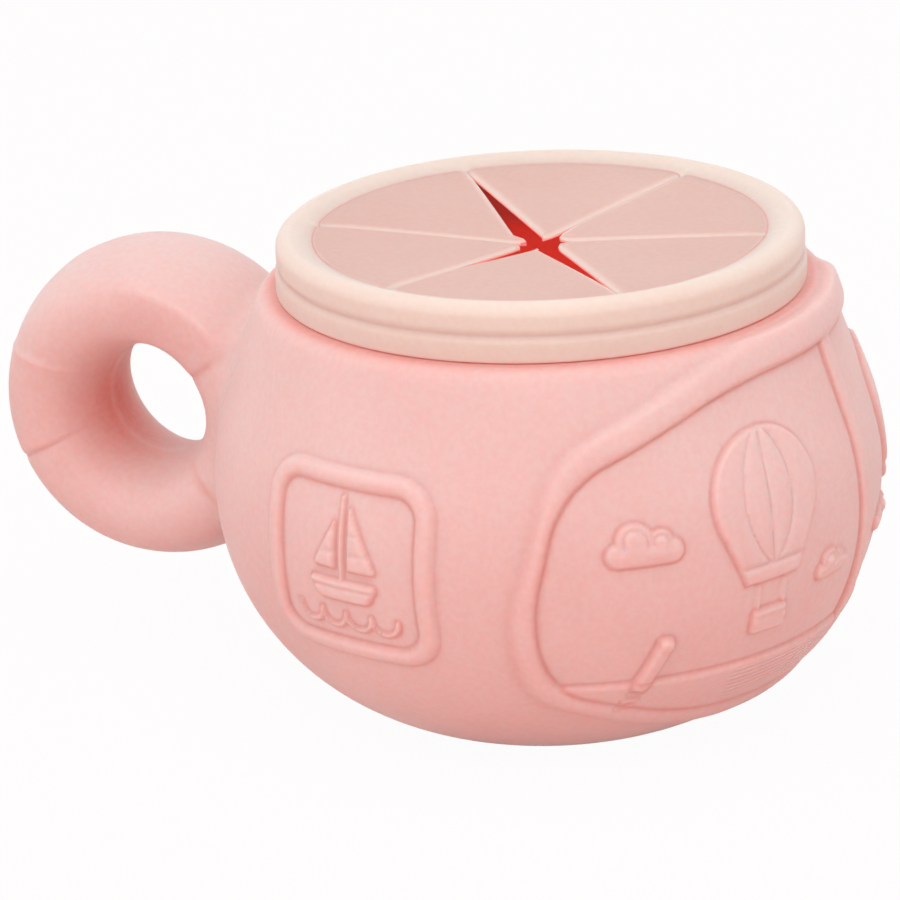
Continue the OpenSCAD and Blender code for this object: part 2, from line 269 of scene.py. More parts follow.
def screenOutline(inset):
    s = windscreen
    top, low, back = bowlShape["ledgeHeight"], s["lowest"], -s["reach"]
    far = bowlShape["radius"] * math.sin(math.radians(s["direction"])) + s["postWidth"]
    corners = [
        (far, top - 1.3 * inset),
        (4, top + 0.6 - 1.35 * inset),
        (back + 8, top - s["browDrop"] - 1.1 * inset),
        (back - 1.5 + 0.85 * inset, bowlShape["widestHeight"] - 6),
        (back + 5 + 0.6 * inset, low + s["cheekRise"] + 0.5 * inset),
        (-4, low + 2 + inset),
        (far, low + inset),
    ]
    return roundedOutline(corners, [0, 60, 18, 24, 14, 60, 0])


def windscreenRelief(u, z, y):
    # The pane is flush with the wall, inside a broad frame that falls steeply to it, and the
    # dashboard fills its lower part
    s = windscreen
    outer = outlineInside(u, z, screenOutline(0))
    framed = outlineInside(u, z, screenOutline(s["frameWidth"]))
    beside = y - s["postWidth"] / 2
    climb = smoothRise(z - s["browFrom"], s["browTo"] - s["browFrom"])
    tall = s["height"] + (s["browHeight"] - s["height"]) * climb
    fade = smoothRise(outer + s["outerSpread"], s["outerFade"])
    height = tall * fade * roundRise(-framed, s["roll"])
    post = s["postHeight"] * softRise(-beside, s["postRound"])
    post += s["postCrest"] * np.clip(1 - y / (s["postWidth"] / 2), 0, 1)
    height = np.maximum(height, post * smoothRise(outer, s["postFade"]))
    nose = bowlShape["radius"] * math.sin(math.radians(s["direction"]))
    sill = s["sillBack"] + (s["sillNose"] - s["sillBack"]) * (u + s["reach"]) / (nose + s["reach"])
    dash = np.minimum(sill - z, framed + s["dashUnder"])
    height = np.maximum(height, s["dashHeight"] * softRise(dash, s["sillRound"]))
    sillLine = np.where((framed > 0) & (beside > 0), sill - z, noLine)
    return height, np.minimum(framed, beside), sillLine, outer


sideWindow = {
    "direction": 103, "height": 39.35, "width": 33.8, "tall": 33, "corner": 7.5,
    "frameWidth": 3.5, "raised": 1.15, "outerRound": 1.7, "innerRound": 1.4,
}


def windowRelief(u, z):
    # A rounded bead all round
    w = sideWindow
    outer = boxInside(u, z, (0, w["height"]), w["width"], w["tall"], w["corner"])
    inner = w["frameWidth"] - outer
    bead = w["raised"] * softRise(outer, w["outerRound"]) * softRise(inner, w["innerRound"])
    return bead, outer, -inner


pictures = {
    "raised": 0.85, "round": 0.9, "line": 1.1, "puff": 0.5, "puffWidth": 1.7,
    "inset": 1.3, "step": 0.3, "engraved": 0.35, "engravedWidth": 0.4,
    "sailSeam": 0.25, "sailSeamWidth": 0.35, "weave": 0.15, "weavePitch": 1.65,
    "balloon": (7, 48.5), "balloonRadius": 11,
    "cloud": (-16, 43.5), "cloudWidth": 13, "smallCloud": (22, 31.5), "smallCloudWidth": 9.1,
    "boat": (0, 37.4), "boatWidth": 15,
}
lever = {
    "place": (-13.7, 23.1), "lean": 19, "length": 11, "width": 3.2, "raised": 1.3, "cap": 0.35,
    "ribs": ((-15.4, 17.9), (-16, 16.5), (-16.6, 15.1)), "ribLength": 3, "ribWidth": 0.8,
    "ribRaised": 1.4,
}


def balloonRelief(u, z):
    # Puffed gores between the seams, a band, two ropes and a woven basket
    p = pictures
    (cu, cz), r = p["balloon"], p["balloonRadius"]
    skirt = [(cu + r * 0.5, cz - 1.3 * r), (cu + r * 0.87, cz - r / 2),
             (cu - r * 0.87, cz - r / 2), (cu - r * 0.5, cz - 1.3 * r)]
    bag = np.maximum(circleInside(u, z, (cu, cz), r), outlineInside(u, z, skirt))
    seams = [np.abs(circleInside(u, z, (cu + side * r, cz), 1.45 * r)) for side in (-1, 1)]
    seam = np.minimum(np.minimum(*seams), np.abs(u - cu))
    seam = np.where(z > cz - r, seam, noLine)
    band = np.abs(z - cz + r)
    puff = p["puff"] * (roundRise(np.minimum(seam, band), p["puffWidth"]) - 0.8)
    height = softRise(bag, p["round"]) * (p["raised"] + puff)
    basketZ = cz - 1.95 * r
    basket = boxInside(u, z, (cu, basketZ), 0.7 * r, 0.45 * r, 0.1 * r)
    weave = p["weave"] * np.cos((z - basketZ) * 2 * math.pi / p["weavePitch"])
    height = np.maximum(height, softRise(basket, p["round"]) * (p["raised"] + weave))
    ropes = [boxInside(u, z, (cu + side * r / 4, cz - 1.5 * r), p["line"], 0.75 * r, 0.3)
             for side in (-1, 1)]
    height = np.maximum(height, 0.7 * p["raised"] * softRise(np.maximum(*ropes), p["line"] / 2))
    seamLine = np.where(bag > 1, np.minimum(seam, band), noLine)
    return height, np.maximum(bag, basket), seamLine


def cloudRelief(u, z, centre, width):
    # Three puffs on a flat base, with a higher middle and a curl in the two large ones
    p = pictures
    flat = boxInside(u, z, centre, width, 0.34 * width, 0.169 * width)
    large = circleInside(u, z, (centre[0] - 0.12 * width, centre[1] + 0.16 * width), 0.25 * width)
    small = circleInside(u, z, (centre[0] + 0.2 * width, centre[1] + 0.12 * width), 0.18 * width)
    cloud = np.maximum(flat, np.maximum(large, small))
    curl = np.minimum(np.abs(large - 0.11 * width), np.abs(small - 0.09 * width))
    curl = np.where((z > centre[1] + 0.1 * width) & (cloud > 0.5), curl, noLine)
    height = softRise(cloud, p["round"]) * p["raised"]
    height += p["step"] * softRise(cloud - p["inset"], 0.6)
    height -= p["engraved"] * groove(curl, p["engravedWidth"])
    return height, cloud, curl


def boatRelief(u, z):
    # A hull with a plank line, two sails, a mast and a row of waves
    p = pictures
    (cu, cz), w, line = p["boat"], p["boatWidth"], p["line"]
    u, z = u - cu, z - cz
    hull = outlineInside(u, z, roundedOutline(
        [(-w / 2, 0), (-w / 3, -0.27 * w), (w / 3, -0.27 * w), (w / 2, 0)], [1, 2, 2, 1]))
    fore = outlineInside(u, z, roundedOutline(
        [(line, 1.3 * line), (0.48 * w, 1.3 * line), (line, 0.9 * w)], [0.4, 0.8, 0.4]))
    aft = outlineInside(u, z, roundedOutline(
        [(-line, 1.3 * line), (-line, 0.72 * w), (-0.42 * w, 1.3 * line)], [0.4, 0.4, 0.8]))
    mast = boxInside(u, z, (0, 0.46 * w), line, 0.96 * w, 0.4)
    sails = np.maximum(fore, aft)
    plankLine = np.abs(z + 0.1 * w)
    plank = p["engraved"] * groove(plankLine, p["engravedWidth"])
    seam = np.minimum(np.abs(z - 0.3 * w), np.abs(z - 0.52 * w))
    height = softRise(hull, p["round"]) * (p["raised"] + 0.15 - plank)
    cloth = p["raised"] - p["sailSeam"] * groove(seam, p["sailSeamWidth"])
    height = np.maximum(height, softRise(sails, p["round"]) * cloth)
    height = np.maximum(height, 0.8 * p["raised"] * softRise(mast, line / 2))
    waves = np.full(u.shape, -noLine)
    for step in (-1.5, -0.5, 0.5, 1.5):
        du, dz = u - step * w / 3, z + 0.42 * w
        end = np.hypot(np.abs(du) - w / 6, dz)
        wave = line / 2 - np.where(dz < 0, np.abs(np.hypot(du, dz) - w / 6), end)
        waves = np.maximum(waves, wave)
    height = np.maximum(height, 0.8 * p["raised"] * softRise(waves, line / 2))
    folds = np.where(sails > 0.5, seam, np.where(hull > 0.5, plankLine, noLine))
    return height, np.maximum(np.maximum(hull, sails), np.maximum(mast, waves)), folds


def leverRelief(u, z):
    # A handle with a raised cap, and ribs across its foot
    v = lever
    shape = boxInside(u, z, v["place"], v["width"], v["length"], 0.42 * v["width"], v["lean"])
    lean = math.radians(v["lean"])
    upwards = (u - v["place"][0]) * math.sin(lean) + (z - v["place"][1]) * math.cos(lean)
    cap = v["cap"] * smoothRise(upwards - v["length"] / 2 + 2.6, 1)
    height = softRise(shape, 1) * (v["raised"] + cap)
    ribs = np.full(u.shape, -noLine)
    for rib in v["ribs"]:
        ribs = np.maximum(ribs, boxInside(u, z, rib, v["ribLength"], v["ribWidth"], 0.3, -4))
    height = np.maximum(height, v["ribRaised"] * softRise(ribs, v["ribWidth"] / 2))
    return height, shape, ribs


# Painted shade along each kind of line: how deep a pink it gets, and how wide it spreads
paintedLineShades = {
    "pane": (0.7, 0.45), "picture": (0.595, 0.42), "windowOuter": (0.28, 0.6),
    "windowPane": (0.63, 0.45), "screenOuter": (0.245, 0.9), "sill": (0.56, 0.4),
    "ribs": (0.42, 0.3),
}


def relief(points):
    # The height of the relief on the bare wall, the signed distance to the nearest line where it
    # changes sharply, the painted shade beside its creases and edges, and how deep in the
    # dashboard's ribbed part a point is. The two sides mirror each other.
    s, p = windscreen, pictures
    x, y, z = points[:, 0], np.abs(points[:, 1]), points[:, 2]
    across, otherSide = [], 500
    for direction in (s["direction"], sideWindow["direction"]):
        angle = math.radians(direction)
        facing = x * math.cos(angle) + y * math.sin(angle) > bowlShape["radius"] / 3
        across.append(np.where(facing, x * math.sin(angle) - y * math.cos(angle), otherSide))
    u, v = across
    screenHeight, pane, sill, screenOuter = windscreenRelief(u, z, y)
    windowHeight, outer, windowPane = windowRelief(v, z)
    balloonHeight, balloon, seam = balloonRelief(u, z)
    cloudHeight, cloud, curl = cloudRelief(u, z, p["cloud"], p["cloudWidth"])
    smallHeight, smallCloud, smallCurl = cloudRelief(u, z, p["smallCloud"], p["smallCloudWidth"])
    boatHeight, boat, folds = boatRelief(v, z)
    leverHeight, handle, ribs = leverRelief(u, z)
    height = np.maximum.reduce([screenHeight, windowHeight, balloonHeight, cloudHeight,
                                smallHeight, boatHeight, leverHeight])
    raised = np.maximum.reduce([balloon, cloud, smallCloud, boat, handle])
    corners = np.stack([-pane, raised, outer, -windowPane, sill])
    drawn = [seam, curl, smallCurl, folds, ribs]
    lines = np.concatenate([corners, corners[1:] - secondLine, drawn])
    nearest = np.argmin(np.abs(lines), axis=0)
    line = lines[nearest, np.arange(len(z))]
    edges = {"pane": pane, "picture": raised, "windowOuter": outer, "windowPane": windowPane,
             "screenOuter": screenOuter, "sill": sill, "ribs": ribs}
    # Painted shade: a darker pink beside each crease and edge, where shade would fall
    paintedDarkening = np.maximum.reduce([depth * groove(edges[name], width)
                              for name, (depth, width) in paintedLineShades.items()])
    ribbed = smoothRise(sill - s["ribbedFrom"], 0.5) * (sill < s["ribbedTo"])
    ribbed = ribbed * smoothRise(u - s["ribbedFrom"], 2) * smoothRise(pane - 0.8, 0.5)
    return height, line, paintedDarkening, ribbed


def onOuterWall(points, depth=0.7):
    return ((np.hypot(points[:, 0], points[:, 1]) > wallRadius(points[:, 2]) - depth)
            & (points[:, 2] > bowlShape["footRound"] + 0.3)
            & (points[:, 2] < bowlShape["ledgeHeight"] - 0.02)
            & (points[:, 0] > bowlShape["reliefBack"]))


def snapToWall(points):
    leaning = (points[:, 2] < bowlShape["ledgeHeight"] - bowlShape["shoulderRound"] + 0.8)
    wall = onOuterWall(points, 0.6) & leaning
    flat = np.hypot(points[:, 0], points[:, 1])
    scale = np.where(wall, wallRadius(points[:, 2]) / np.maximum(flat, 1e-9), 1)
    points[:, :2] *= scale[:, None]


def refine(piece, closeness):
    # Faces near the relief's sharp lines are cut in four
    mesh = piece.data
    centres = np.empty(len(mesh.polygons) * 3)
    mesh.polygons.foreach_get("center", centres)
    centres = centres.reshape(-1, 3) / mm
    chosen = onOuterWall(centres, 1)
    height, line = relief(centres[chosen])[:2]
    chosen[chosen] = (np.abs(line) < closeness) | ((height > 0.02) & (closeness > 1))
    bpy.context.tool_settings.mesh_select_mode = (False, False, True)
    mesh.vertices.foreach_set("select", np.zeros(len(mesh.vertices), bool))
    mesh.edges.foreach_set("select", np.zeros(len(mesh.edges), bool))
    mesh.polygons.foreach_set("select", chosen)
    bpy.ops.object.mode_set(mode="EDIT")
    bpy.ops.mesh.subdivide(number_cuts=1, ngon=False)
    bpy.ops.object.mode_set(mode="OBJECT")
    points = verticesOf(piece)
    snapToWall(points)
    setVertices(piece, points)


def crossings(piece, points):
    # The mesh's triangles, and their area vectors
    mesh = piece.data
    mesh.calc_loop_triangles()
    corners = np.empty(len(mesh.loop_triangles) * 3, np.int32)
    mesh.loop_triangles.foreach_get("vertices", corners)
    corners = corners.reshape(-1, 3)
    a, b, c = (points[corners[:, i]] for i in range(3))
    return corners, np.cross(b - a, c - a)


def undoFolded(piece, before, after, least):
    # Vertices go back wherever a move has folded or flattened a triangle
    corners, wasFacing = crossings(piece, before)
    for i in range(6):
        facing = crossings(piece, after)[1]
        folded = np.sum(facing * wasFacing, axis=1) < least * np.sum(wasFacing ** 2, axis=1)
        if not folded.any():
            break
        back = np.unique(corners[folded])
        after[back] = before[back]


def alignToLines(piece, farthest):
    # Vertices close to a sharp line slide along the wall onto it, so that it isn't jagged
    points = verticesOf(piece)
    chosen = np.flatnonzero(onOuterWall(points))
    near = points[chosen]
    line = relief(near)[1]
    chosen, near, line = (a[np.abs(line) < farthest] for a in (chosen, near, line))
    flat = np.hypot(near[:, 0], near[:, 1])
    slope = wallSlope(near[:, 2])
    outwards = near[:, :2] / flat[:, None]
    around = np.stack([-outwards[:, 1], outwards[:, 0], np.zeros(len(near))], 1)
    upwards = np.stack([outwards[:, 0] * slope, outwards[:, 1] * slope, np.ones(len(near))], 1)
    upwards /= np.linalg.norm(upwards, axis=1)[:, None]
    probe = 0.02
    rises = [(relief(near + probe * way)[1] - line) / probe for way in (around, upwards)]
    steepness = rises[0] ** 2 + rises[1] ** 2
    step = (around * rises[0][:, None] + upwards * rises[1][:, None]) * (-line / steepness)[:, None]
    small = (np.linalg.norm(step, axis=1) < farthest) & (steepness > 0.2) & (steepness < 1.5)
    near[small] += step[small]
    before = points.copy()
    points[chosen] = near
    snapToWall(points)
    undoFolded(piece, before, points, 0.3)
    setVertices(piece, points)


def addMask(piece, name, values):
    attribute = piece.data.attributes.new(name, "FLOAT", "POINT")
    attribute.data.foreach_set("value", np.asarray(values, np.float32))


def makeBowl():
    s = bowlShape
    piece = spinPiece("bowlShell", bowlSection(), s["spinSteps"])
    print("bowl spun:", len(piece.data.polygons), "faces")
    refine(piece, s["coarseCut"])
    refine(piece, s["fineCut"])
    alignToLines(piece, s["alignWithin"])
    points = verticesOf(piece)
    outside = onOuterWall(points)
    normals = normalsOf(piece)
    height, line, paintedDarkening, ribs = relief(points[outside])
    radius = np.hypot(points[:, 0], points[:, 1])
    # Painted shadow of the lid's edge, a darker pink on the shoulder just below it
    paintedLidShadow = groove(radius - s["lidRadius"], s["lidShadeWidth"])
    paintedLidShadow *= smoothRise(points[:, 2] - s["lidShadeFrom"], 3)
    # The painted shade mask joins the lid's painted shadow and the painted shade along the relief's
    # lines
    paintedShade = paintedLidShadow.copy()
    paintedShade[outside] = np.maximum(paintedShade[outside], paintedDarkening)
    ribbed = np.zeros(len(points))
    ribbed[outside] = ribs
    points[outside] += normals[outside] * height[:, None]
    points[outside, 2] = np.minimum(points[outside, 2], s["ledgeHeight"])
    setVertices(piece, points)
    addMask(piece, "paintedShade", paintedShade)
    addMask(piece, "ribbed", ribbed)
    # Painted glow: red emission on the inner wall, and some in the lid's painted shadow, stands in
    # for light coming through the wall
    deep = (radius < wallRadius(points[:, 2]) - s["glowDepth"]) & (points[:, 2] > s["floor"] / 2)
    inside = deep * smoothRise(s["ledgeHeight"] - points[:, 2], s["glowFade"])
    addMask(piece, "inside", np.maximum(inside, s["lidGlow"] * paintedLidShadow))
    piece.data.calc_loop_triangles()
    print("relief raised:", len(piece.data.loop_triangles), "triangles")
    return piece


bowlShell = makeBowl()

# Places on the ring are in degrees: a turn round it, upwards from the bowl, and a facing round its
# section, nought on its outside and below nought in front. The grip band's edges have a turn, a
# facing and a lean, the creases a turn, a facing and a reach, and the ridge and the parting lines
# a facing and two turns.
ring = {
    "out": 16.2, "up": 5.45, "radius": 19.7, "halfThick": 9.35, "halfWide": 14.8, "sideRadius": 7.2,
    "steps": 300, "quarterSteps": 17, "bandFrom": (150, -116, 0.134), "bandTo": (200, -126, 0.053),
    "bandEdge": 1, "bandHeight": 0.25, "bandRidge": 0.3, "bandFacing": (-82, 42),
    "creases": ((35, -102, 24), (320, -96, 22)), "creaseDepth": 0.3, "creaseWidth": 0.9,
    "ridge": (-74, 38, 105), "ridgeHeight": 0.6, "ridgeSpread": 7, "facetShade": 0.22,
    "creaseShade": 0.45, "bandShade": 0.4, "ridgeStarts": (4, 14), "ridgeEnds": 30,
    "facetStart": (2, 3), "facetEnd": (15, 45), "partingHeight": 0.25, "partingWidth": 0.7,
    "partingPlace": -2, "partingHighlight": 0.25, "partingInHole": (145, 120, 300),
    "partingOnCrest": (30, 60, 160), "crestShare": 0.4,
    "shade": 1.35, "shadeFacing": 55, "shadeTurn": (195, 70), "rootFillet": 5, "buried": 1.3,
}


def ringSection():
    # Each quarter is half of a flat-curved face and half of a rounded side
    a, b, r = ring["halfWide"], ring["halfThick"], ring["sideRadius"]
    d = a - r
    k = (d * d - (b - r) ** 2) / (2 * (b - r))
    meet = 90 - math.degrees(math.atan2(k, d))
    face = arcPoints((-k, 0), b + k, 0, meet, ring["quarterSteps"])
    side = arcPoints((0, d), r, meet, 90, ring["quarterSteps"])
    quarter = face + side[1:]
    half = quarter + [(-x, y) for x, y in quarter[::-1][1:]]
    return half + [(x, -y) for x, y in half[::-1][1:-1]]


def makeRing():
    s = ring
    ringX, ringZ = -(bowlShape["radius"] + s["out"]), bowlShape["widestHeight"] + s["up"]
    section = [(ringX + s["radius"] + out, across, ringZ) for out, across in ringSection()]
    piece = spinPiece("ringHandle", section, s["steps"], (ringX, 0, ringZ), (0, -1, 0))
    points, normals = verticesOf(piece), normalsOf(piece)
    dx, dz = points[:, 0] - ringX, points[:, 2] - ringZ
    turn = np.degrees(np.arctan2(dz, dx)) % 360
    out = np.hypot(dx, dz) - s["radius"]
    around = np.degrees(np.arctan2(points[:, 1], out))
    arc = np.radians(1) * (s["radius"] + out)
    # In front a grip band between a ridge and a crease, two creases by the root and a soft edge,
    # and the two halves' parting lines
    front = groove(around - s["bandFacing"][0], s["bandFacing"][1])
    fromEdge, toEdge = [(turn - start - (around - facing) * lean) * arc
                        for start, facing, lean in (s["bandFrom"], s["bandTo"])]
    band = smoothRise(fromEdge + s["bandEdge"] / 2, s["bandEdge"])
    band *= smoothRise(s["bandEdge"] / 2 - toEdge, s["bandEdge"])
    height = s["bandHeight"] * band
    height += s["bandRidge"] * (groove(fromEdge, 0.8) - groove(toEdge - 0.4, 0.7))
    height *= front
    # Painted shade below the grip band's lower edge
    paintedDarkening = s["bandShade"] * front * groove(toEdge - 0.4, 0.7)
    # Each crease is cut in, with painted shade along it
    for at, facing, reach in s["creases"]:
        crease = groove((turn - at) * arc, s["creaseWidth"]) * groove(around - facing, reach)
        height -= s["creaseDepth"] * crease
        paintedDarkening = np.maximum(paintedDarkening, s["creaseShade"] * crease)
    # Painted shade deep in the hole, where light falls least
    middle, spread = s["shadeTurn"]
    inHole = groove(np.abs(around) - 180, s["shadeFacing"]) * groove(turn - middle, spread)
    paintedDarkening = np.maximum(paintedDarkening, s["shade"] * inHole)
    facing, start, end = s["ridge"]
    early, rise = s["ridgeStarts"]
    stretch = smoothRise(turn - start + early, rise) * smoothRise(end - turn, s["ridgeEnds"])
    height += s["ridgeHeight"] * np.exp(-np.abs(around - facing) / s["ridgeSpread"]) * stretch
    # Painted shade on the facet below the ridge
    (near, sharp), (far, soft) = s["facetStart"], s["facetEnd"]
    under = facing - around
    below = smoothRise(under - near, sharp) * (1 - smoothRise(under - far, soft))
    paintedDarkening = np.maximum(paintedDarkening, s["facetShade"] * below * stretch)
    least, start, end = s["partingInHole"]
    hole = (np.abs(around) > least) & (turn > start) & (turn < end)
    parting = groove(points[:, 1] - s["partingPlace"], s["partingWidth"]) * hole
    height += s["partingHeight"] * parting
    # Painted highlight: the painted shade is lighter along the parting line in the hole
    paintedDarkening = np.maximum(0, paintedDarkening - s["partingHighlight"] * parting)
    most, start, end = s["partingOnCrest"]
    crest = (np.abs(around) < most) & (turn > start) & (turn < end)
    crestHeight = s["crestShare"] * s["partingHeight"]
    height += crestHeight * groove(points[:, 1], s["partingWidth"]) * crest
    points += normals * height[:, None]
    # Soft root where the ring grows out of the wall, and an end buried in the wall
    flat = np.hypot(points[:, 0], points[:, 1])
    slope = wallSlope(points[:, 2])
    wall = np.stack([points[:, 0] / flat, points[:, 1] / flat, -slope], 1)
    wall /= np.linalg.norm(wall, axis=1)[:, None]
    away = (flat - wallRadius(points[:, 2])) * np.hypot(wall[:, 0], wall[:, 1])
    fillet = s["rootFillet"]
    flare = fillet - np.sqrt(fillet ** 2 - np.clip(fillet - away, 0, fillet) ** 2)
    sideways = normals - wall * np.sum(normals * wall, axis=1)[:, None]
    points += sideways * flare[:, None]
    flat = np.hypot(points[:, 0], points[:, 1])
    deepest = wallRadius(points[:, 2]) - s["buried"]
    points[:, :2] *= np.maximum(1, deepest / flat)[:, None]
    setVertices(piece, points)
    addMask(piece, "paintedShade", paintedDarkening)
    print("ring handle spun:", len(piece.data.polygons), "faces")
    return piece


ringHandle = makeRing()

# The painted show-through of the pink below, on the thin top, has two edges, each a share, a
# distance past the foot and a width
lidShape = {
    "radius": 45, "draft": 0.3, "lowest": 72.6, "top": 82.4, "edgeRound": 2.3, "landWidth": 4.6,
    "recessDepth": 1.3, "thin": 1.4, "skirtBead": 3.8, "grooveWidth": 1.5, "grooveDepth": 0.4,
    "lowRound": 0.6, "slopeWidth": 4, "plugOuter": 38.15, "plugThick": 1.5,
    "plugBottom": 75.9, "innerRadius": 42.6, "innerCorner": 0.5, "overRim": 80, "spinSteps": 360,
    "showThrough": 0.8, "showThroughEdges": ((0.6, 0.8, 1.3), (0.4, 3, 3.5)), "skirtShowThrough": 0.12,
    "skirtFade": (3.5, 4.5), "grooveShade": 0.35, "slitHighlight": 0.75, "footGlow": 0.22,
    "glowWidth": 0.7,
}
# For each slit, how far the flaps before and after it stand back from it at the middle, and the
# radius where that gap closes
flaps = {
    "count": 6, "turn": 12.5, "slitEnd": 35.8, "scoreWidth": 1.3, "scoreDepth": 0.5,
    "underScore": 0.5, "slits": ((0.25, 0.25, 5), (1.3, 0.1, 10), (1.5, 3.1, 36), (0.1, 0.1, 20),
                                (1.7, 2.7, 24), (2.1, 1.7, 35)),
    "slitRoom": 0.06, "slitCurve": 1.1, "sags": (1.9, 2.0, 2.7, 2.6, 2.2, 2.1), "sagCurve": 1.15,
    "tips": (3.6, 2.0, 3.0, 3.6, 3.2, 4.2), "tipRound": 2.2, "outerRadius": 39,
    "thinnedFrom": 37.5, "thinnedBy": 0.4, "thinnedOver": 0.6, "rows": 72, "columns": 44,
    "edgeCrowding": 1.5, "tipCrowding": 1.25, "sharpAngle": 50,
}


def scored(aside):
    # One at a slit, nought beside the moulded groove along it
    return 1 - np.clip(aside / flaps["scoreWidth"], 0, 1)


def besideSlit(x, y):
    pitch = 360 / flaps["count"]
    radius = np.hypot(x, y)
    turn = (np.degrees(np.arctan2(y, x)) - flaps["turn"] + pitch / 2) % pitch - pitch / 2
    return radius * np.abs(np.sin(np.radians(turn)))


def lidFoot():
    # Radius where the raised edge meets the thin top
    return lidShape["radius"] - lidShape["landWidth"] - lidShape["slopeWidth"] / 2


def grooveHeight():
    return lidShape["lowest"] + lidShape["skirtBead"] + lidShape["grooveWidth"] / 2


def paintedShowThrough(points, aside):
    # How much of the pink below is painted in as showing through at each point, with painted shade
    # in the skirt's groove and a painted highlight that makes the slits paler
    s = lidShape
    radius = np.hypot(points[:, 0], points[:, 1])
    thin = sum(share * smoothRise(lidFoot() + past - radius, width)
               for share, past, width in s["showThroughEdges"])
    # Painted highlight: paler along the slits
    pale = smoothRise(scored(aside), 0.7)
    thin *= s["showThrough"] * (1 - s["slitHighlight"] * pale)
    down, fade = s["skirtFade"]
    skirt = s["skirtShowThrough"] * smoothRise(s["top"] - down - points[:, 2], fade)
    # Painted shade in the skirt's groove
    inGroove = np.clip(1 - np.abs(points[:, 2] - grooveHeight()) / s["grooveWidth"], 0, 1)
    return np.maximum(thin, skirt + s["grooveShade"] * inGroove)


def makeLidRing():
    s = lidShape
    foot, grooveZ = lidFoot(), grooveHeight()
    thinTop, thinUnder = s["top"] - s["recessDepth"], s["top"] - s["recessDepth"] - s["thin"]
    r, low, slope = s["edgeRound"], s["lowRound"], s["slopeWidth"]
    upper = s["radius"] - s["draft"]
    section = arcPoints((s["radius"] - low, s["lowest"] + low), low, -90, 0, 7)
    section += along(section[-1], (s["radius"], grooveZ - s["grooveWidth"]), 0.6)[1:-1]
    for t in np.linspace(-1, 1, 15):
        inwards = s["grooveDepth"] * groove(t, 0.45) + s["draft"] * smoothRise(t + 1, 2)
        section.append((s["radius"] - inwards, grooveZ + t * s["grooveWidth"]))
    section += along(section[-1], (upper, s["top"] - r), 0.6)[1:]
    section += arcPoints((upper - r, s["top"] - r), r, 0, 90, 12)[1:]
    section += along(section[-1], (foot + slope, s["top"]), 1)[1:-1]
    for t in np.linspace(1, 0, 19):
        rise = 0.45 * t * t * (3 - 2 * t) + 0.55 * t
        section.append((foot + slope * t, thinTop + s["recessDepth"] * rise))
    # The thin top's edge steps back under the flaps, down to the plug lip and the skirt's inside
    inner, half = s["plugOuter"] - s["plugThick"], s["plugThick"] / 2
    section += [(foot - 0.3, thinTop - 0.4), (s["plugOuter"] - 0.3, thinUnder)]
    section += [(inner - 0.05, thinUnder - 0.02)]
    section += arcPoints((inner + half, s["plugBottom"] + half), half, 180, 360, 8)
    underRim, corner = (s["innerRadius"], s["overRim"]), s["innerCorner"]
    section += [(s["plugOuter"], s["overRim"]), underRim]
    section += along(underRim, (s["innerRadius"], s["lowest"] + corner), 1.5)[1:-1]
    section += arcPoints((s["innerRadius"] + corner, s["lowest"] + corner), corner, 180, 270, 3)
    piece = spinPiece("lidRing", section, s["spinSteps"])
    points = verticesOf(piece)
    radius = np.hypot(points[:, 0], points[:, 1])
    # The score grooves run on into the foot of the raised edge
    top = (points[:, 2] > thinTop - 0.1) & (points[:, 2] < s["top"] - 0.2)
    ends = flaps["scoreDepth"] * (1 - smoothRise(radius - foot, 1.5))
    aside = besideSlit(points[:, 0], points[:, 1])
    points[top, 2] -= (ends * scored(aside))[top]
    setVertices(piece, points)
    # Painted show-through, painted shade and painted highlight, as one mask
    addMask(piece, "paintedShade", paintedShowThrough(points, aside))
    # Painted glow: warm emission where the edge meets the flaps, and along the skirt's lower edge
    wide = s["glowWidth"]
    footGlow = (1 - smoothRise(radius - foot, wide)) * (points[:, 2] > thinTop - wide)
    lowGlow = 1 - smoothRise(points[:, 2] - s["lowest"], wide)
    addMask(piece, "inside", s["footGlow"] * np.maximum(footGlow, lowGlow))
    print("lid ring spun:", len(piece.data.polygons), "faces")
    return piece


